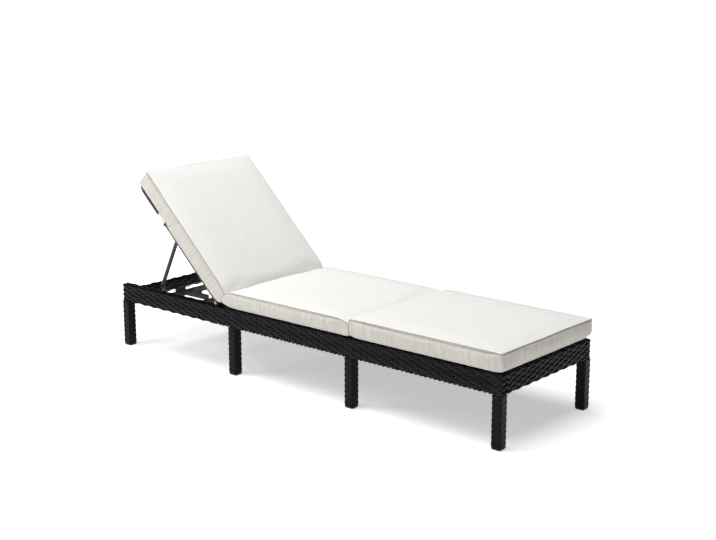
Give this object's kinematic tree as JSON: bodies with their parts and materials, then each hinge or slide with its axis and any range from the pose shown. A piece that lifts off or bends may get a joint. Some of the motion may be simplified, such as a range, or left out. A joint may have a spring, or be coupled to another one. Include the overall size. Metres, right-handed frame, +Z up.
{
  "type": "adjustable chaise longue",
  "caption": "Free-standing sun lounger: strand-woven frame on eight legs, three box cushions, and a tubular backrest on a hinge, held by a U-shaped prop in toothed racks.",
  "frame": {"origin": "on the floor, under the middle of the lounger's length and width", "axes": "+Z up, +Y along the length towards the head end where the backrest rises, +X across; the lounger is alike on both sides of X = 0"},
  "size_m": [0.577, 1.96, 0.7557],
  "materials": {
    "black_strand_weave": "satin",
    "black_coated_steel": "satin",
    "black_glide": "satin",
    "bolt_steel": "satin",
    "cushion_cloth": "matte",
    "strap_webbing": "matte"
  },
  "bodies": {
    "frame": {"side_frame_left": "black_coated_steel", "side_frame_right": "black_coated_steel", "side_rail_weave_left": "black_strand_weave", "side_rail_weave_right": "black_strand_weave", "foot_rail_weave": "black_strand_weave", "foot_rail_tubes": "black_coated_steel", "head_rail_weave": "black_strand_weave", "head_rail_tubes": "black_coated_steel", "deck_cross_tubes": "black_coated_steel", "rack_cross_tubes": "black_coated_steel", "leg_weave_left_foot_end": "black_strand_weave", "leg_weave_left_seat_front": "black_strand_weave", "leg_weave_left_seat_rear": "black_strand_weave", "leg_weave_left_head_end": "black_strand_weave", "leg_weave_right_foot_end": "black_strand_weave", "leg_weave_right_seat_front": "black_strand_weave", "leg_weave_right_seat_rear": "black_strand_weave", "leg_weave_right_head_end": "black_strand_weave", "leg_tubes": "black_coated_steel", "leg_glides": "black_glide", "seat_deck": "black_strand_weave", "rack_left": "black_coated_steel", "rack_right": "black_coated_steel", "hinge_plate_left": "black_coated_steel", "hinge_plate_right": "black_coated_steel", "hinge_bolts": "bolt_steel", "hinge_spacers": "bolt_steel", "foot_cushion": "cushion_cloth", "seat_cushion": "cushion_cloth"},
    "backrest": {"backrest_frame": "black_coated_steel", "backrest_cross_tubes": "black_coated_steel", "backrest_panel": "black_strand_weave", "prop_plate_left": "black_coated_steel", "prop_plate_right": "black_coated_steel", "prop_bolts": "bolt_steel", "back_cushion": "cushion_cloth", "cushion_strap_left": "strap_webbing", "cushion_strap_right": "strap_webbing"},
    "prop": {"prop": "black_coated_steel"}
  },
  "joints": [
    {"name": "backrest_tilt", "type": "hinge", "parent": "frame", "child": "backrest", "pos_m": [0, 0.412, 0.282], "axis": [1, 0, 0], "range_deg": [-43.5, 0]},
    {"name": "prop_swing", "type": "hinge", "parent": "backrest", "child": "prop", "pos_m": [0, 0.67515, 0.49863], "axis": [1, 0, 0], "range_deg": [0, 111.3]}
  ],
  "couplings": [
    {"joint": "prop_swing", "follows": "backrest_tilt", "ratio": -2.5586}
  ]
}
